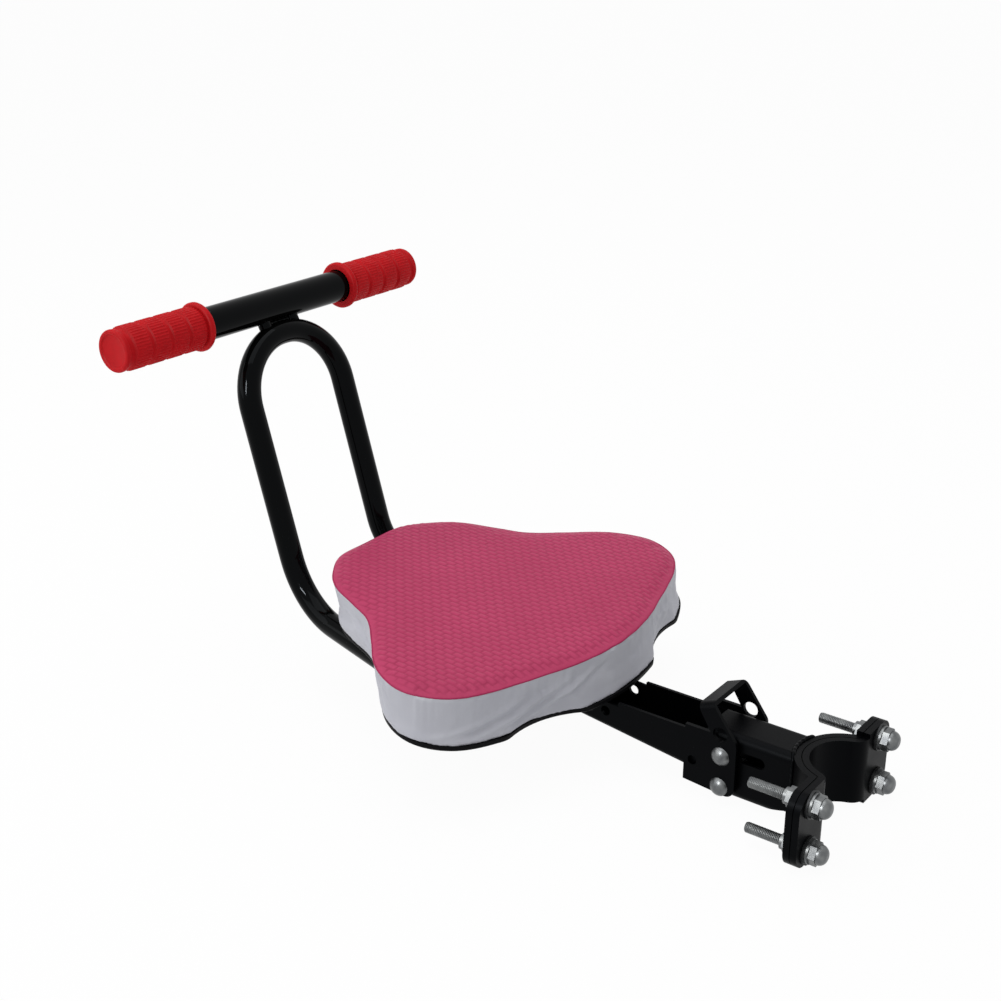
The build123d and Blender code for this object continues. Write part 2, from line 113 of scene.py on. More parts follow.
# %% Camera
camera_place = Vector((-0.2989, 0.7292, 0.4918))
camera_aim = Vector((0.5556, -0.7409, -0.3774))
photo_width_px = 1001
focal_px = 1551.3
bpy.ops.object.camera_add(location=camera_place, rotation=camera_aim.to_track_quat("-Z", "Y").to_euler())
camera = bpy.context.object
camera.data.sensor_width = 36
camera.data.lens = camera.data.sensor_width * focal_px / photo_width_px
camera.data.clip_start = 0.01
scene.camera = camera
print("lens", round(camera.data.lens, 1), "mm")

# %% [markdown]
# ## Stage and light
# A pale floor catches a soft shadow. Seen straight on it is nearly white, and glossy parts mirror the same
# white. Two large softboxes and an even sky light the seat at a plain level: a broad one overhead and one
# to the left of the picture, which leaves the side band a little darker on the right. A narrow strip, seen
# only in reflections, draws the short streaks on the bends of the glossy tubes.


# %% Floor
def seen_directly(tree):
    """One for rays from the camera, mirrored rays and rays through glass, and none for the light itself."""
    paths = add_node(tree, "ShaderNodeLightPath")
    seen = add_node(tree, "ShaderNodeMath", {"operation": "ADD"}, {
        0: paths.outputs["Is Camera Ray"], 1: paths.outputs["Is Glossy Ray"]})
    return add_node(tree, "ShaderNodeMath", {"operation": "ADD", "use_clamp": True}, {
        0: seen.outputs[0], 1: paths.outputs["Is Transmission Ray"]})


floor_gap = 1.5 * mm
floor_whiteness = 0.96
floor_height = cad_low.z - floor_gap
bpy.ops.mesh.primitive_plane_add(size=12, location=(0.2, 0, floor_height))
floor = bpy.context.object
floor.name = "floor"
floor_finish = bpy.data.materials.new("pale_floor")
floor_finish.use_nodes = True
tree = floor_finish.node_tree
tree.nodes.clear()
share = add_node(tree, "ShaderNodeMath", {"operation": "MULTIPLY", 1: floor_whiteness}, {
    0: seen_directly(tree).outputs[0]})
matt = add_node(tree, "ShaderNodeBsdfDiffuse", {"Color": linear("#F4F4F4")})
glow = add_node(tree, "ShaderNodeEmission", {"Strength": 1.0})
mixed = add_node(tree, "ShaderNodeMixShader", {}, {
    0: share.outputs[0], 1: matt.outputs[0], 2: glow.outputs[0]})
add_node(tree, "ShaderNodeOutputMaterial", {}, {"Surface": mixed.outputs[0]})
floor.data.materials.append(floor_finish)
print("floor at", round(floor_height / mm, 1), "mm")

# %% Sky
sky_strength = 0.47
scene.world = bpy.data.worlds.new("studio")
scene.world.use_nodes = True
tree = scene.world.node_tree
tree.nodes.clear()
soft_sky = add_node(tree, "ShaderNodeBackground", {"Strength": sky_strength, "Color": (1, 1, 1, 1)})
white_sky = add_node(tree, "ShaderNodeBackground", {"Strength": 1.0, "Color": (1, 1, 1, 1)})
mixed = add_node(tree, "ShaderNodeMixShader", {}, {
    0: seen_directly(tree).outputs[0], 1: soft_sky.outputs[0], 2: white_sky.outputs[0]})
add_node(tree, "ShaderNodeOutputWorld", {}, {"Surface": mixed.outputs[0]})
scene.view_settings.view_transform = "Standard"
print("sky at", sky_strength)

# %% Lamps
light_target = Vector((0.2, 0, 0.05))


def add_lamp(name, place, width, height, power):
    """An area lamp of this size in metres and power in watts, turned to the saddle."""
    aim = (light_target - place).to_track_quat("-Z", "Y").to_euler()
    bpy.ops.object.light_add(type="AREA", location=place, rotation=aim)
    lamp = bpy.context.object
    lamp.name = name
    lamp.data.shape = "RECTANGLE"
    lamp.data.size, lamp.data.size_y = width, height
    lamp.data.energy = power
    return lamp


add_lamp("overhead_softbox", Vector((0.46, 0.10, 1.70)), 1.6, 1.6, 13.4)
add_lamp("left_softbox", Vector((1.10, 1.00, 0.75)), 1.0, 1.0, 5.4)
streak = add_lamp("streak_strip", Vector((0.20, 1.05, 0.75)), 0.09, 0.35, 10.0)
streak.visible_diffuse = False
print("two softboxes and a strip")

# %% [markdown]
# ## Black powder coat
# The steel of the arm and clamp is powder coated: a baked plastic skin, satin, with a faint orange peel
# about a millimetre and a half across. Its true black leaves only a soft reflection. The handle loop has the
# same coat in a glossier grade, which shows narrow streaks of light down its bends.


# %% Powder coat
def powder_coat(name, colour, roughness, reflection, peel_mm, peel_depth_mm):
    """Baked black paint with orange peel and a little uneven gloss."""
    # Painted light: the Specular Tint makes the coat's reflections a little blue, for the bluish light on its
    # upper faces.
    material, tree, shader = new_finish(name, {
        "Specular IOR Level": reflection, "Specular Tint": (0.86, 0.93, 1.0, 1.0)})
    place = add_node(tree, "ShaderNodeTexCoord")
    peel = add_node(tree, "ShaderNodeTexNoise", {"Scale": 1 / (peel_mm * mm), "Detail": 2.0}, {
        "Vector": place.outputs["Object"]})
    bump = add_node(tree, "ShaderNodeBump", {"Strength": 1.0, "Distance": peel_depth_mm * mm}, {
        "Height": peel.outputs["Fac"]})
    cloud = add_node(tree, "ShaderNodeTexNoise", {"Scale": 1 / (22 * mm), "Detail": 3.0}, {
        "Vector": place.outputs["Object"]})
    gloss = add_node(tree, "ShaderNodeMapRange", {
        "To Min": 0.8 * roughness, "To Max": 1.25 * roughness}, {"Value": cloud.outputs["Fac"]})
    shade = add_node(tree, "ShaderNodeValToRGB", {}, {"Fac": cloud.outputs["Fac"]})
    shade.color_ramp.elements[0].color = linear(colour)
    shade.color_ramp.elements[1].color = [c * 1.5 for c in linear(colour)[:3]] + [1.0]
    tree.links.new(shade.outputs["Color"], shader.inputs["Base Color"])
    tree.links.new(gloss.outputs["Result"], shader.inputs["Roughness"])
    tree.links.new(bump.outputs["Normal"], shader.inputs["Normal"])
    return material


def coat(names, finish):
    """Gives these nodes of the frame one finish."""
    for name in names:
        nodes[name].data.materials.clear()
        nodes[name].data.materials.append(finish)


arm_coat = powder_coat("satin_black_powder_coat", "#020203", 0.36, 0.042, 1.5, 0.012)
loop_coat = powder_coat("gloss_black_powder_coat", "#040404", 0.08, 0.055, 2.0, 0.002)
coat(("arm_clamp_plate", "loose_clamp_plate", "rear_arm_tube", "front_arm_channel", "hinge_stirrup",
      "seat_pan"), arm_coat)
coat(("handle_loop", "handlebar_tube", "handle_studs"), loop_coat)
print("powder coat on the arm and the handle")

# %% [markdown]
# ## Zinc plate
# Bolts, nuts, washers, rivets and screws are steel plated with zinc. The plating is a soft silver whose
# crystals catch the light unevenly, a few millimetres at a time, so both its tone and its gloss are mottled.
# The washers are given a darker, duller zinc than the rest.


# %% Zinc plate
def zinc_plate(name, dark, light, smooth, rough):
    """Zinc over steel, mottled by its crystals in tone and gloss, with a fine grit."""
    material, tree, shader = new_finish(name, {"Metallic": 1.0})
    place = add_node(tree, "ShaderNodeTexCoord")
    crystals = add_node(tree, "ShaderNodeTexNoise", {"Scale": 1 / (5 * mm), "Detail": 2.0}, {
        "Vector": place.outputs["Object"]})
    tone = add_node(tree, "ShaderNodeValToRGB", {}, {"Fac": crystals.outputs["Fac"]})
    tone.color_ramp.elements[0].position = 0.3
    tone.color_ramp.elements[0].color = linear(dark)
    tone.color_ramp.elements[1].position = 0.7
    tone.color_ramp.elements[1].color = linear(light)
    gloss = add_node(tree, "ShaderNodeMapRange", {"To Min": smooth, "To Max": rough}, {
        "Value": crystals.outputs["Fac"]})
    grit = add_node(tree, "ShaderNodeTexNoise", {"Scale": 1 / (0.4 * mm), "Detail": 2.0}, {
        "Vector": place.outputs["Object"]})
    bump = add_node(tree, "ShaderNodeBump", {"Strength": 0.5, "Distance": 0.02 * mm}, {
        "Height": grit.outputs["Fac"]})
    tree.links.new(tone.outputs["Color"], shader.inputs["Base Color"])
    tree.links.new(gloss.outputs["Result"], shader.inputs["Roughness"])
    tree.links.new(bump.outputs["Normal"], shader.inputs["Normal"])
    return material


zinc = zinc_plate("bright_zinc_plate", "#5A5C5E", "#787A7A", 0.3, 0.44)
dull_zinc = zinc_plate("dull_zinc_washers", "#2C2D2E", "#424344", 0.5, 0.6)
coat(("clamp_bolts", "clamp_nuts", "hinge_rivet", "stop_rivet", "seat_screws"), zinc)
coat(("clamp_washers",), dull_zinc)
print("bright zinc on the fasteners, dull zinc on the washers")

# %% [markdown]
# ## Moulded black plastic
# The saddle's board is moulded polypropylene. Its mould was lightly blasted, which leaves a fine grain under
# half a millimetre and a matt, slightly grey black.

# %% Moulded plastic
board_plastic, tree, shader = new_finish("blasted_black_polypropylene", {
    "Base Color": linear("#08080A"), "Specular IOR Level": 0.06})
place = add_node(tree, "ShaderNodeTexCoord")
grain = add_node(tree, "ShaderNodeTexNoise", {"Scale": 1 / (0.5 * mm), "Detail": 3.0}, {
    "Vector": place.outputs["Object"]})
bump = add_node(tree, "ShaderNodeBump", {"Strength": 0.6, "Distance": 0.05 * mm}, {
    "Height": grain.outputs["Fac"]})
gloss = add_node(tree, "ShaderNodeMapRange", {"To Min": 0.45, "To Max": 0.6}, {"Value": grain.outputs["Fac"]})
tree.links.new(gloss.outputs["Result"], shader.inputs["Roughness"])
tree.links.new(bump.outputs["Normal"], shader.inputs["Normal"])
coat(("seat_board", "loop_end_plugs"), board_plastic)
print("plastic on the board and plugs")

# %% [markdown]
# ## Saddle foam
# The saddle is a foam block on its board, covered with a white side band and a pink top panel that is sewn
# to it. The solids give its outline. A copy of the foam is stretched to the panel's top, remeshed into even
# squares and smoothed, which rounds its edge but draws it in, so the sides are pushed out again towards the
# top. It is then blown up a little as cloth, so that the top crowns as stuffed covers do. The foot is held
# still on the board, and no point may move more than two millimetres in this.

# %% Places on the saddle
seat_rear = np.array((0.1562, 0.0, 0.0170))
seat_tilt = math.radians(3.8)
seat_along = np.array((math.cos(seat_tilt), 0.0, math.sin(seat_tilt)))
seat_up = np.array((-math.sin(seat_tilt), 0.0, math.cos(seat_tilt)))
board_top = 3.5 * mm
panel_top = 34.0 * mm


def points_of(piece):
    """The vertices of a piece as an array."""
    flat = np.empty(len(piece.data.vertices) * 3)
    piece.data.vertices.foreach_get("co", flat)
    return flat.reshape(-1, 3)


def put_points(piece, points):
    """Moves the vertices of a piece."""
    piece.data.vertices.foreach_set("co", np.ascontiguousarray(points, dtype=np.float32).ravel())
    piece.data.update()


def normals_of(piece):
    """The vertex normals of a piece as an array."""
    flat = np.empty(len(piece.data.vertices) * 3, np.float32)
    piece.data.vertex_normals.foreach_get("vector", flat)
    return flat.reshape(-1, 3).astype(float)


def on_seat(points):
    """Distances forward along the saddle, to its left and above its base plane."""
    offset = points - seat_rear
    return offset @ seat_along, offset[:, 1], offset @ seat_up


def make_active(piece):
    """Selects one piece alone."""
    bpy.ops.object.select_all(action="DESELECT")
    piece.select_set(True)
    bpy.context.view_layer.objects.active = piece


def mesh_copy(source, name):
    """A new object with its own copy of a mesh."""
    copy = bpy.data.objects.new(name, source.data.copy())
    scene.collection.objects.link(copy)
    copy.data.materials.clear()
    make_active(copy)
    return copy


# %% Foam blank
foam = mesh_copy(nodes["seat_cushion"], "saddle_foam")
bpy.ops.object.mode_set(mode="EDIT")
bpy.ops.mesh.select_all(action="SELECT")
bpy.ops.mesh.remove_doubles(threshold=0.01 * mm)
bpy.ops.object.mode_set(mode="OBJECT")
points = points_of(foam)
u, v, w = on_seat(points)
stretch = (panel_top - board_top) / (w.max() - board_top)
put_points(foam, points + np.outer((w - board_top) * (stretch - 1), seat_up))
grid_size = 1.9 * mm
foam.data.remesh_voxel_size = grid_size
bpy.ops.object.voxel_remesh()
even = foam.modifiers.new("even", "SMOOTH")
even.factor = 0.5
even.iterations = 9
bpy.ops.object.modifier_apply(modifier=even.name)
edge_swell = 1.9 * mm
points = points_of(foam)
u, v, w = on_seat(points)
sideways = normals_of(foam)
sideways -= np.outer(sideways @ seat_up, seat_up)
swell = edge_swell * np.clip((w - board_top) / (panel_top - board_top), 0, 1)
put_points(foam, points + sideways * swell[:, None])
print("foam blank", len(foam.data.vertices), "points")

# %% Blow the cover up as cloth
cloth_frames = 20
top_cap = 2.0 * mm
side_cap = 0.8 * mm
held_height = 4 * mm
start = points_of(foam)
u, v, w = on_seat(start)
held = foam.vertex_groups.new(name="held")
held.add([int(i) for i in np.nonzero(w < board_top + held_height)[0]], 1.0, "REPLACE")
cloth = foam.modifiers.new("cover", "CLOTH")
cloth.settings.use_pressure = True
cloth.settings.uniform_pressure_force = 12.0
cloth.settings.effector_weights.gravity = 0.0
cloth.settings.vertex_group_mass = held.name
for number in range(1, cloth_frames + 1):
    scene.frame_set(number)
make_active(foam)
bpy.ops.object.modifier_apply(modifier=cloth.name)
scene.frame_set(1)
moved = points_of(foam) - start
upward = np.abs(normals_of(foam) @ seat_up)
cap = side_cap + (top_cap - side_cap) * upward
reach = np.linalg.norm(moved, axis=1)
put_points(foam, start + moved * np.minimum(1.0, cap / np.maximum(reach, 1e-9))[:, None])
print("cover swelled by up to", round(reach.max() / mm, 1), "mm, kept to", round(top_cap / mm, 1))

# %% [markdown]
# ## Top panel and side band
# The swollen cover is cut along the seam just under its top edge. The upper part becomes the pink panel, and
# the lower part the white band. Both are smoothed to about a millimetre, because the panel's embossing is
# real relief: short raised bricks along the saddle, staggered from row to row, fading out at the seam.


# %% Cut at the seam
def cut(piece, height, keep_upper):
    """Cuts a piece at a height above the saddle's base and keeps one side."""
    make_active(piece)
    bpy.ops.object.mode_set(mode="EDIT")
    bpy.ops.mesh.select_all(action="SELECT")
    bpy.ops.mesh.bisect(plane_co=Vector(seat_rear + seat_up * height), plane_no=Vector(seat_up),
                        clear_inner=keep_upper, clear_outer=not keep_upper)
    bpy.ops.object.mode_set(mode="OBJECT")


def smooth_finer(piece, levels):
    """Applies a subdivision surface."""
    make_active(piece)
    finer = piece.modifiers.new("finer", "SUBSURF")
    finer.levels = levels
    finer.render_levels = levels
    bpy.ops.object.modifier_apply(modifier=finer.name)


def close_holes(piece):
    """Fills each open rim of a piece with one face."""
    make_active(piece)
    bpy.ops.object.mode_set(mode="EDIT")
    bpy.ops.mesh.select_mode(type="EDGE")
    bpy.ops.mesh.select_all(action="DESELECT")
    bpy.ops.mesh.select_non_manifold(extend=False, use_wire=False, use_boundary=True,
                                     use_multi_face=False, use_non_contiguous=False, use_verts=False)
    bpy.ops.mesh.edge_face_add()
    bpy.ops.mesh.select_all(action="SELECT")
    bpy.ops.mesh.normals_make_consistent(inside=False)
    bpy.ops.object.mode_set(mode="OBJECT")


seam_height = 32.3 * mm
foot_height = board_top + 0.5 * mm
saddle_top = foam
saddle_band = mesh_copy(foam, "saddle_band")
cut(saddle_band, seam_height, keep_upper=False)
cut(saddle_band, foot_height, keep_upper=True)
cut(saddle_top, seam_height, keep_upper=True)
saddle_top.name = "saddle_top"
smooth_finer(saddle_top, 1)
smooth_finer(saddle_band, 1)
print("panel", len(saddle_top.data.vertices), "points, band", len(saddle_band.data.vertices), "points")

# %% Seam line
make_active(saddle_top)
bpy.ops.object.mode_set(mode="EDIT")
bpy.ops.mesh.select_mode(type="EDGE")
bpy.ops.mesh.select_all(action="DESELECT")
bpy.ops.mesh.select_non_manifold(extend=False, use_wire=False, use_boundary=True,
                                 use_multi_face=False, use_non_contiguous=False, use_verts=False)
bpy.ops.mesh.duplicate()
bpy.ops.mesh.separate(type="SELECTED")
bpy.ops.object.mode_set(mode="OBJECT")
seam_cord = [o for o in bpy.context.selected_objects if o != saddle_top][0]
seam_cord.name = "seam_piping"
print("seam with", len(seam_cord.data.vertices), "points")

# %% [markdown]
# A sewn edge is a fair curve, but the remesh leaves the seam slightly wavy. Its distance from the saddle's
# middle is averaged over a few degrees, and the panel, the band and the piping are drawn to that curve.

# %% Even out the seam
seat_middle = 85 * mm
full_turn = 2 * math.pi
steps_per_degree = 4
blur_degrees = 2.5
kernel_degrees = 8
rim_u, rim_v, rim_w = on_seat(points_of(seam_cord))
rim_turn = np.arctan2(rim_v, rim_u - seat_middle)
order = np.argsort(rim_turn)
even_turn = np.radians(np.arange(-180 * steps_per_degree, 180 * steps_per_degree) / steps_per_degree)
rim_gap = np.hypot(rim_v, rim_u - seat_middle)
rim_reach = np.interp(even_turn, rim_turn[order], rim_gap[order], period=full_turn)
half_kernel = kernel_degrees * steps_per_degree
kernel = np.exp(-0.5 * (np.arange(-half_kernel, half_kernel + 1) / (blur_degrees * steps_per_degree)) ** 2)
smooth_reach = np.convolve(np.pad(rim_reach, half_kernel, mode="wrap"), kernel / kernel.sum(), mode="valid")


def even_out(piece, share_of):
    """Draws a piece towards the smoothed seam, by a share worked out from reach and height."""
    points = points_of(piece)
    u, v, w = on_seat(points)
    turn = np.arctan2(v, u - seat_middle)
    rim = np.interp(turn, even_turn, rim_reach, period=full_turn)
    change = np.interp(turn, even_turn, smooth_reach, period=full_turn) / rim - 1
    change *= np.clip(share_of(np.hypot(v, u - seat_middle) / rim, w), 0, 1)
    forward = np.outer(change * (u - seat_middle), seat_along)
    put_points(piece, points + forward + np.outer(change * v, (0, 1, 0)))


even_out(saddle_top, lambda reach, height: (reach - 0.8) / 0.19)
even_out(saddle_band, lambda reach, height: (height - foot_height) / (seam_height - foot_height))
even_out(seam_cord, lambda reach, height: np.ones(len(reach)))
rim_points = points_of(seam_cord)
print("seam evened by up to", round(np.abs(smooth_reach - rim_reach).max() / mm, 2), "mm")

# %% Emboss the panel
brick_length = 7.6 * mm
brick_row = 4.4 * mm
brick_groove = 1.2 * mm
emboss_depth = 0.45 * mm
plain_edge = 1.5 * mm
fade_width = 3.0 * mm
points = points_of(saddle_top)
u, v, w = on_seat(points)
row = np.floor(v / brick_row)
across = np.abs(v / brick_row - row - 0.5) * brick_row
shifted = u / brick_length + 0.5 * (row % 2)
lengthwise = np.abs(shifted - np.floor(shifted) - 0.5) * brick_length
room = np.minimum(brick_row / 2 - across, brick_length / 2 - lengthwise)
relief = np.clip(room / brick_groove, 0, 1)
relief = relief * relief * (3 - 2 * relief)
rim_u, rim_v, rim_w = on_seat(rim_points)
edge_gap = np.full(len(points), 1.0)
for part in np.array_split(np.arange(len(rim_points)), 24):
    gaps = np.hypot(u[:, None] - rim_u[part], v[:, None] - rim_v[part])
    edge_gap = np.minimum(edge_gap, gaps.min(axis=1))
fade = np.clip((edge_gap - plain_edge) / fade_width, 0, 1)
put_points(saddle_top, points + np.outer((relief - 1) * emboss_depth * fade, seat_up))
# Painted shade: this attribute is one on the brick crests and less in the grooves, where the panel is
# coloured a deeper pink.
tone = saddle_top.data.attributes.new("painted_groove_shade", "FLOAT", "POINT")
tone.data.foreach_set("value", (1 - (1 - relief) * fade).astype(np.float32))
close_holes(saddle_top)
print("bricks", round(brick_length / mm, 1), "by", round(brick_row / mm, 1), "mm")

# %% [markdown]
# The band is stretched between the seam and the board, so it draws in a little at mid height, and the cover
# was pulled tight at the back: a few soft diagonal folds run up from the board on the left rear side. Its
# hem wanders over the edge of the board, so the black rim below it is wide in one place and thin in another.

# %% Draw the band in and fold it
draw_in = 0.8 * mm
fold_height = 1.8 * mm
fold_width = 3.4 * mm
hem_height = 6 * mm
hem_swell = 0.9 * mm
# Each fold by its lower angle and height and its upper angle and height, in degrees and millimetres
folds = ((107, 6, 134, 25), (116, 5, 150, 26), (128, 5, 164, 27), (-142, 6, -128, 27), (40, 24, 62, 8))
points = points_of(saddle_band)
u, v, w = on_seat(points)
angle = np.degrees(np.arctan2(v, u - seat_middle))
radius = np.hypot(v, u - seat_middle)
outward = np.outer((u - seat_middle) / radius, seat_along) + np.outer(v / radius, (0, 1, 0))
share = np.clip((w - foot_height) / (seam_height - foot_height), 0, 1)
push = -draw_in * np.sin(np.pi * share)
for angle_low, height_low, angle_high, height_high in folds:
    run = np.clip((w / mm - height_low) / (height_high - height_low), -0.3, 1.3)
    middle = angle_low + (angle_high - angle_low) * run
    aside = np.radians(angle - middle) * radius * 0.55
    strength = np.sin(np.pi * np.clip(run, 0, 1))
    push += fold_height * strength * (np.exp(-(aside / fold_width) ** 2)
                                      - 0.6 * np.exp(-((aside - 1.9 * fold_width) / fold_width) ** 2))
turn = np.radians(angle)
hem_drop = 0.45 + 0.3 * np.sin(3 * turn + 0.6) + 0.25 * np.sin(7 * turn + 1.9) + 0.2 * np.sin(13 * turn)
near_foot = np.clip(1 - (w - foot_height) / hem_height, 0, 1)
push += hem_swell * near_foot
lowered = -np.clip(hem_drop, 0.0, 1.4) * mm * near_foot
put_points(saddle_band, points + outward * push[:, None] + np.outer(lowered, seat_up))
close_holes(saddle_band)
print("band folded by up to", round(np.abs(push).max() / mm, 2), "mm")

# %% [markdown]
# A thin covered cord is sewn into the seam. It is the seam line itself, given a round section.

# %% Piping along the seam
piping_radius = 0.5 * mm
make_active(seam_cord)
bpy.ops.object.convert(target="CURVE")
seam_cord.data.bevel_depth = piping_radius
seam_cord.data.bevel_resolution = 2
bpy.ops.object.convert(target="MESH")
for piece in (saddle_top, saddle_band, seam_cord):
    make_active(piece)
    bpy.ops.object.shade_smooth()
print("piping", len(seam_cord.data.polygons), "faces")

# %% [markdown]
# ## Coated cloth
# Both covers are PVC-coated cloth. The pink panel's coat has a fine grain and a broad soft shine, and its
# grooves are painted a deeper pink as painted shade. The band is smooth white, with a grain too fine to see
# except as softness. The piping is pink cloth, painted a deeper pink as painted shade of the seam's crease.

# %% Pink panel finish
pink_cloth, tree, shader = new_finish("embossed_pink_coated_cloth", {"Specular IOR Level": 0.12})
place = add_node(tree, "ShaderNodeTexCoord")
painted_groove_shade = add_node(tree, "ShaderNodeAttribute", {"attribute_name": "painted_groove_shade"})
patches = add_node(tree, "ShaderNodeTexNoise", {"Scale": 1 / (35 * mm), "Detail": 3.0}, {
    "Vector": place.outputs["Object"]})
crest = add_node(tree, "ShaderNodeValToRGB", {}, {"Fac": patches.outputs["Fac"]})
crest.color_ramp.elements[0].position = 0.3
crest.color_ramp.elements[0].color = linear("#B63D63")
crest.color_ramp.elements[1].position = 0.7
crest.color_ramp.elements[1].color = linear("#BE4269")
# Painted shade: the grooves between the bricks are coloured a deeper pink.
groove_shade_mix = add_node(tree, "ShaderNodeMix", {"data_type": "RGBA", 6: linear("#A63357")}, {
    0: painted_groove_shade.outputs["Fac"], 7: crest.outputs["Color"]})
grain = add_node(tree, "ShaderNodeTexNoise", {"Scale": 1 / (0.7 * mm), "Detail": 3.0}, {
    "Vector": place.outputs["Object"]})
bump = add_node(tree, "ShaderNodeBump", {"Strength": 0.5, "Distance": 0.06 * mm}, {
    "Height": grain.outputs["Fac"]})
gloss = add_node(tree, "ShaderNodeMapRange", {"To Min": 0.42, "To Max": 0.58}, {
    "Value": grain.outputs["Fac"]})
tree.links.new(groove_shade_mix.outputs[2], shader.inputs["Base Color"])
tree.links.new(gloss.outputs["Result"], shader.inputs["Roughness"])
tree.links.new(bump.outputs["Normal"], shader.inputs["Normal"])
saddle_top.data.materials.append(pink_cloth)
print("pink cloth on the panel")

# %% White band finish
white_cloth, tree, shader = new_finish("white_coated_cloth", {"Specular IOR Level": 0.2})
place = add_node(tree, "ShaderNodeTexCoord")
patches = add_node(tree, "ShaderNodeTexNoise", {"Scale": 1 / (30 * mm), "Detail": 2.0}, {
    "Vector": place.outputs["Object"]})
shade = add_node(tree, "ShaderNodeValToRGB", {}, {"Fac": patches.outputs["Fac"]})
shade.color_ramp.elements[0].position = 0.3
shade.color_ramp.elements[0].color = linear("#BABBC4")
shade.color_ramp.elements[1].position = 0.7
shade.color_ramp.elements[1].color = linear("#C2C3CB")
grain = add_node(tree, "ShaderNodeTexNoise", {"Scale": 1 / (0.9 * mm), "Detail": 3.0}, {
    "Vector": place.outputs["Object"]})
bump = add_node(tree, "ShaderNodeBump", {"Strength": 0.4, "Distance": 0.05 * mm}, {
    "Height": grain.outputs["Fac"]})
gloss = add_node(tree, "ShaderNodeMapRange", {"To Min": 0.45, "To Max": 0.6}, {"Value": grain.outputs["Fac"]})
tree.links.new(shade.outputs["Color"], shader.inputs["Base Color"])
tree.links.new(gloss.outputs["Result"], shader.inputs["Roughness"])
tree.links.new(bump.outputs["Normal"], shader.inputs["Normal"])
saddle_band.data.materials.append(white_cloth)
print("white cloth on the band")

# %% Piping finish
# Painted shade: the piping is a deeper pink than the panel, for the shade in the seam's crease.
piping_cloth_painted_shade, tree, shader = new_finish("piping_painted_seam_shade", {"Roughness": 0.6, "Specular IOR Level": 0.1})
place = add_node(tree, "ShaderNodeTexCoord")
twist = add_node(tree, "ShaderNodeTexNoise", {"Scale": 1 / (1.2 * mm), "Detail": 2.0}, {
    "Vector": place.outputs["Object"]})
shade = add_node(tree, "ShaderNodeValToRGB", {}, {"Fac": twist.outputs["Fac"]})
shade.color_ramp.elements[0].color = linear("#9E2C52")
shade.color_ramp.elements[1].color = linear("#B03A62")
tree.links.new(shade.outputs["Color"], shader.inputs["Base Color"])
seam_cord.data.materials.append(piping_cloth_painted_shade)
print("deeper pink on the piping")

# %% Join the covers to the frame
for piece, slot_name in ((saddle_top, "pink_vinyl"), (saddle_band, "white_vinyl"), (seam_cord, "pink_vinyl")):
    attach(piece, "seat_arm")
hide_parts("seat_top_panel")
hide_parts("seat_cushion")
print("saddle covered")

# %% [markdown]
# ## Rubber grips
# Each grip is one moulding: a rounded flange towards the middle, four blocks of fine lengthwise ribs with
# grooves between them, and a closed end disc beyond a neck. A ring with four points to a rib is extruded
# along the bar, station by station; the points in a rib's valley are then drawn in on the blocks.

# %% Grip shape
grip_low, grip_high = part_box("grip_left")
grip_axis = Vector(((grip_low.x + grip_high.x) / 2, 0, (grip_low.z + grip_high.z) / 2))
inner_y, outer_y = grip_low.y, grip_high.y
rib_count = 44
ring_points = 4 * rib_count
block_count = 4
block_size, valley_size, groove_size, neck_size = 14.5, 14.05, 12.8, 12.3
flange_width, end_width, neck_width, groove_width = 4.5, 3.6, 4.0, 2.8
whole = (outer_y - inner_y) / mm
disc = whole - end_width
# Each station by its place along the grip and its radius in millimetres, and whether it has ribs
stations = [(0.0, 11.6, False), (0.0, 14.9, False), (0.6, 15.8, False), (1.5, 16.3, False),
            (3.0, 16.3, False), (3.9, 15.8, False), (flange_width, 14.9, False),
            (flange_width, groove_size, False)]
blocks_from = flange_width + groove_width / 2
block_pitch = (disc - neck_width + groove_width - blocks_from) / block_count
for number in range(block_count):
    begin = blocks_from + number * block_pitch
    end = begin + block_pitch - groove_width
    floor_size = groove_size if number < block_count - 1 else neck_size
    stations += [(begin, groove_size, False), (begin + 0.5, block_size - 0.3, True),
                 (begin + 1.0, block_size, True), (end - 1.0, block_size, True),
                 (end - 0.5, block_size - 0.3, True), (end, floor_size, False)]
stations += [(disc, neck_size, False), (disc + 0.2, 13.2, False), (disc + 0.9, 13.7, False),
             (disc + 2.4, 13.7, False), (disc + 3.2, 13.4, False), (whole, 12.7, False)]
bpy.ops.object.select_all(action="DESELECT")
bpy.ops.mesh.primitive_circle_add(vertices=ring_points, radius=stations[0][1] * mm,
                                  location=(grip_axis.x, inner_y, grip_axis.z), rotation=(math.pi / 2, 0, 0))
grip = bpy.context.object
grip.name = "grip_rubber_left"
bpy.ops.object.transform_apply(location=True, rotation=True, scale=True)
bpy.ops.object.mode_set(mode="EDIT")
bpy.ops.mesh.select_mode(type="VERT")
bpy.ops.mesh.select_all(action="SELECT")
for (before, size_before, _), (after, size_after, _) in zip(stations, stations[1:]):
    bpy.ops.mesh.extrude_region_move(TRANSFORM_OT_translate={"value": (0, (after - before) * mm, 0)})
    ratio = size_after / size_before
    bpy.ops.transform.resize(value=(ratio, 1, ratio), center_override=(grip_axis.x, inner_y, grip_axis.z))
bpy.ops.mesh.edge_face_add()
bpy.ops.mesh.inset(thickness=1.6 * mm)
bpy.ops.mesh.inset(thickness=0.7 * mm, depth=-0.9 * mm)
bpy.ops.object.mode_set(mode="OBJECT")
print("grip blank", len(grip.data.vertices), "points")

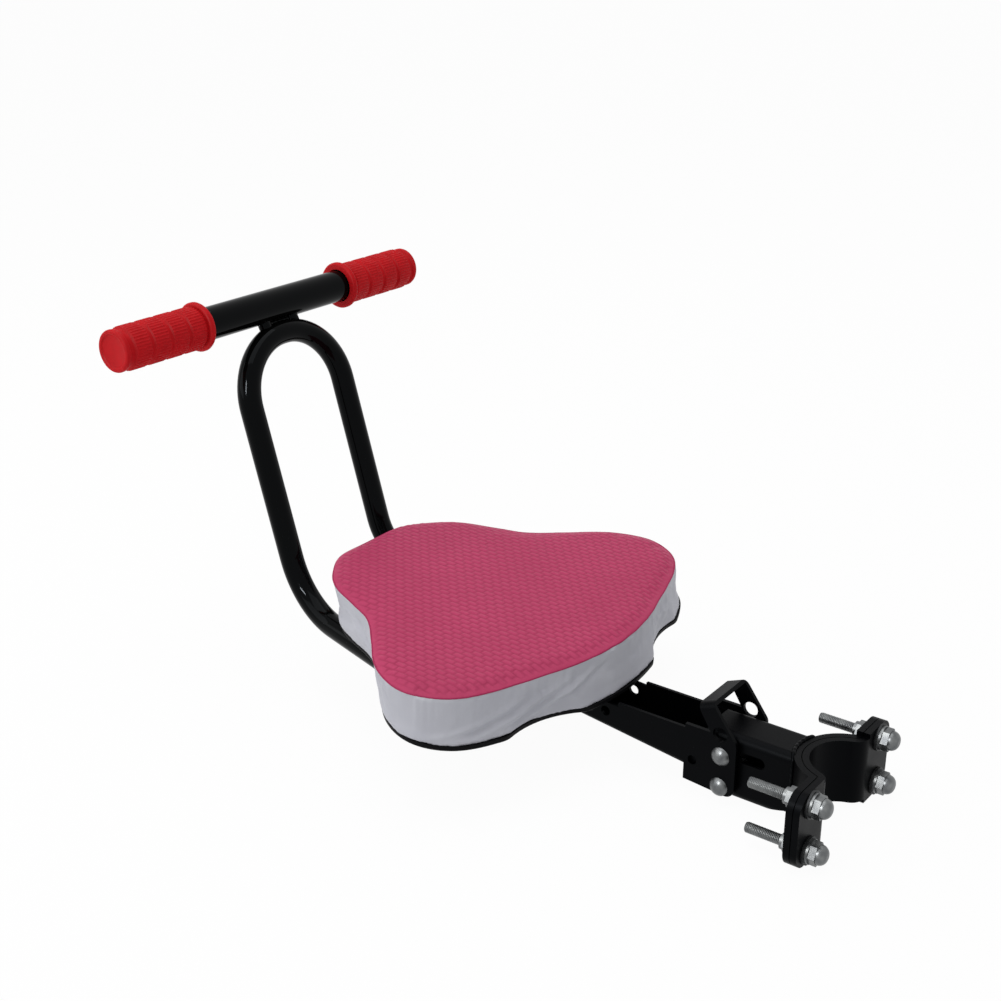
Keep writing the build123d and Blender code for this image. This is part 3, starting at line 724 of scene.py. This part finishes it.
# %% Rib the blocks
points = points_of(grip)
offset = points - np.array(grip_axis)
radial = np.hypot(offset[:, 0], offset[:, 2])
turn = np.arctan2(offset[:, 2], offset[:, 0]) / (2 * math.pi) * rib_count
in_valley = np.abs(turn - np.floor(turn) - 0.5) < 0.26
ribbed_places = [place for place, size, ribbed in stations if ribbed]
along_bar = (points[:, 1] - inner_y) / mm
on_block = np.abs(along_bar[:, None] - np.array(ribbed_places)).min(axis=1) < 0.05
sunk = in_valley & on_block & (radial > 14.1 * mm)
points[sunk, 0] = grip_axis.x + offset[sunk, 0] * valley_size * mm / radial[sunk]
points[sunk, 2] = grip_axis.z + offset[sunk, 2] * valley_size * mm / radial[sunk]
put_points(grip, points)
make_active(grip)
bpy.ops.object.mode_set(mode="EDIT")
bpy.ops.mesh.select_all(action="SELECT")
bpy.ops.mesh.normals_make_consistent(inside=False)
bpy.ops.object.mode_set(mode="OBJECT")
edge_round = grip.modifiers.new("soft_edges", "BEVEL")
edge_round.width = 0.15 * mm
edge_round.segments = 1
edge_round.limit_method = "ANGLE"
edge_round.angle_limit = math.radians(30)
bpy.ops.object.modifier_apply(modifier=edge_round.name)
bpy.ops.object.shade_smooth_by_angle(angle=math.radians(40))
print("ribbed", int(sunk.sum()), "points")

# %% Second grip
grip_other = mesh_copy(grip, "grip_rubber_right")
put_points(grip_other, points_of(grip_other) * np.array((1, -1, 1)))
bpy.ops.object.mode_set(mode="EDIT")
bpy.ops.mesh.select_all(action="SELECT")
bpy.ops.mesh.flip_normals()
bpy.ops.object.mode_set(mode="OBJECT")
bpy.ops.object.shade_smooth_by_angle(angle=math.radians(40))
print("second grip mirrored")

# %% [markdown]
# ## Red rubber
# Soft thermoplastic rubber, moulded in one colour right through. Its skin is matt and slightly dusty on the
# crests, so roughness varies over a few millimetres and a fine grain takes the edge off its shine.

# %% Red rubber finish
red_rubber, tree, shader = new_finish("moulded_red_rubber", {"Specular IOR Level": 0.1})
place = add_node(tree, "ShaderNodeTexCoord")
patches = add_node(tree, "ShaderNodeTexNoise", {"Scale": 1 / (9 * mm), "Detail": 4.0}, {
    "Vector": place.outputs["Object"]})
shade = add_node(tree, "ShaderNodeValToRGB", {}, {"Fac": patches.outputs["Fac"]})
shade.color_ramp.elements[0].position = 0.3
shade.color_ramp.elements[0].color = linear("#B50D15")
shade.color_ramp.elements[1].position = 0.7
shade.color_ramp.elements[1].color = linear("#C3131B")
grain = add_node(tree, "ShaderNodeTexNoise", {"Scale": 1 / (0.6 * mm), "Detail": 2.0}, {
    "Vector": place.outputs["Object"]})
bump = add_node(tree, "ShaderNodeBump", {"Strength": 0.5, "Distance": 0.05 * mm}, {
    "Height": grain.outputs["Fac"]})
gloss = add_node(tree, "ShaderNodeMapRange", {"To Min": 0.42, "To Max": 0.62}, {
    "Value": patches.outputs["Fac"]})
tree.links.new(shade.outputs["Color"], shader.inputs["Base Color"])
tree.links.new(gloss.outputs["Result"], shader.inputs["Roughness"])
tree.links.new(bump.outputs["Normal"], shader.inputs["Normal"])
for piece, node_name in ((grip, "grip_left"), (grip_other, "grip_right")):
    piece.data.materials.clear()
    piece.data.materials.append(red_rubber)
    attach(piece, "seat_arm")
    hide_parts(node_name)
print("grips of", len(grip.data.polygons), "faces")

# %% [markdown]
# ## Bolt threads
# The clamp bolts stand far out of their nuts, so their threads show. One turn is a small tooth; the Screw
# modifier winds it along the bolt at its pitch. It is made once and copied to the other bolts.

# %% Wind one thread
thread_pitch = 1.0 * mm
thread_from = 15.5 * mm
thread_turns = 23
shank_radius = 3.0 * mm
bolt_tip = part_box("clamp_bolts")[1].x
bolt_y, bolt_z = 44.8 * mm, 15.0 * mm
tooth_size = 0.42 * mm
bpy.ops.object.select_all(action="DESELECT")
bpy.ops.mesh.primitive_circle_add(vertices=4, radius=tooth_size, location=(0, 0, 0),
                                  rotation=(math.pi / 2, 0, 0))
thread = bpy.context.object
bpy.ops.object.transform_apply(location=True, rotation=True, scale=True)
bpy.ops.object.mode_set(mode="EDIT")
bpy.ops.mesh.select_all(action="SELECT")
bpy.ops.transform.resize(value=(1, 1, 0.7), center_override=(0, 0, 0))
bpy.ops.transform.translate(value=(0, 0, shank_radius))
bpy.ops.object.mode_set(mode="OBJECT")
winding = thread.modifiers.new("winding", "SCREW")
winding.axis = "X"
winding.angle = 2 * math.pi
winding.screw_offset = thread_pitch
winding.iterations = thread_turns
winding.steps = 20
winding.render_steps = 20
bpy.ops.object.modifier_apply(modifier=winding.name)
bpy.ops.object.mode_set(mode="EDIT")
bpy.ops.mesh.select_all(action="SELECT")
bpy.ops.mesh.remove_doubles(threshold=0.005 * mm)
bpy.ops.object.mode_set(mode="OBJECT")
close_holes(thread)
base = points_of(thread) + np.array((thread_from, 0, 0))
print("thread", len(thread.data.polygons), "faces, bolt tips at", round(bolt_tip / mm, 1), "mm")

# %% Copy it to each bolt
corners = [(1, 1), (1, -1), (-1, 1), (-1, -1)]
for number, (side, level) in enumerate(corners):
    piece = thread if number == 0 else mesh_copy(thread, "bolt_thread")
    piece.name = f"bolt_thread_{number + 1}"
    put_points(piece, base + np.array((0, side * bolt_y, level * bolt_z)))
    piece.data.materials.clear()
    piece.data.materials.append(zinc)
    make_active(piece)
    bpy.ops.object.shade_smooth_by_angle(angle=math.radians(30))
    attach(piece, "post_mount")
print("threads on", len(corners), "bolts")

# %% [markdown]
# ## Weld beads
# The tube is welded to the clamp plate all round, and the bar to the crown of the loop between the studs. A
# weld is a row of overlapping drops, so each bead is a thin cord along the joint whose thickness rises and
# falls every few millimetres. The powder coat covers it like the steel beside it.

# %% Bead on a ring of points
bead_step = 0.5 * mm
bead_ripple = 0.08
points_per_ripple = 8


def weld_bead(name, path, radius, closed):
    """A rippled bead along points that lie about one bead step apart."""
    bpy.ops.object.select_all(action="DESELECT")
    bpy.ops.mesh.primitive_circle_add(vertices=len(path), radius=0.01)
    bead = bpy.context.object
    bead.name = name
    put_points(bead, np.array(path))
    if not closed:
        bpy.ops.object.mode_set(mode="EDIT")
        bpy.ops.mesh.select_mode(type="EDGE")
        bpy.ops.mesh.select_all(action="DESELECT")
        bpy.ops.object.mode_set(mode="OBJECT")
        last = len(path) - 1
        for edge in bead.data.edges:
            edge.select = set(edge.vertices) == {0, last}
        bpy.ops.object.mode_set(mode="EDIT")
        bpy.ops.mesh.delete(type="EDGE")
        bpy.ops.object.mode_set(mode="OBJECT")
    bpy.ops.object.convert(target="CURVE")
    for number, point in enumerate(bead.data.splines[0].points):
        point.radius = 1 + bead_ripple * math.sin(2 * math.pi * number / points_per_ripple)
    bead.data.bevel_depth = radius
    bead.data.bevel_resolution = 2
    bead.data.use_fill_caps = True
    bpy.ops.object.convert(target="MESH")
    bpy.ops.object.shade_smooth()
    return bead


# %% Tube to clamp plate
tube_low, tube_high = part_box("rear_arm_tube")
plate_radius = 31.0 * mm
tube_corner = 5.5 * mm
heel_rise = 5.0 * mm
bead_offset = 0.3 * mm
side, top, foot = tube_high.y + bead_offset, tube_high.z + bead_offset, tube_low.z + heel_rise
bend = np.linspace(0, math.pi / 2, 12)
quarter_y = side - tube_corner + tube_corner * np.cos(bend)
quarter_z = top - tube_corner + tube_corner * np.sin(bend)
outline_y = np.concatenate(([side], quarter_y, -quarter_y[::-1], [-side, side]))
outline_z = np.concatenate(([foot], quarter_z, quarter_z[::-1], [foot, foot]))
run = np.concatenate(([0], np.cumsum(np.hypot(np.diff(outline_y), np.diff(outline_z)))))
steps = np.linspace(0, run[-1], int(run[-1] / bead_step), endpoint=False)
path_y, path_z = np.interp(steps, run, outline_y), np.interp(steps, run, outline_z)
path_x = np.sqrt(plate_radius ** 2 - path_y ** 2)
tube_weld = weld_bead("tube_weld", np.column_stack((path_x, path_y, path_z)), 1.3 * mm, True)
tube_weld.data.materials.append(arm_coat)
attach(tube_weld, "post_mount")
print("tube weld", round(run[-1] / mm), "mm long")

# %% Bar to loop crown
stud_low, stud_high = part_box("handle_studs")
half_length = 14 * mm
steps = np.arange(-half_length, half_length + bead_step / 2, bead_step)
crown_weld = weld_bead("crown_weld", np.column_stack((
    np.full(len(steps), (stud_low.x + stud_high.x) / 2), steps,
    np.full(len(steps), (stud_low.z + stud_high.z) / 2))), 2.4 * mm, False)
crown_weld.data.materials.append(loop_coat)
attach(crown_weld, "seat_arm")
print("crown weld between the studs")
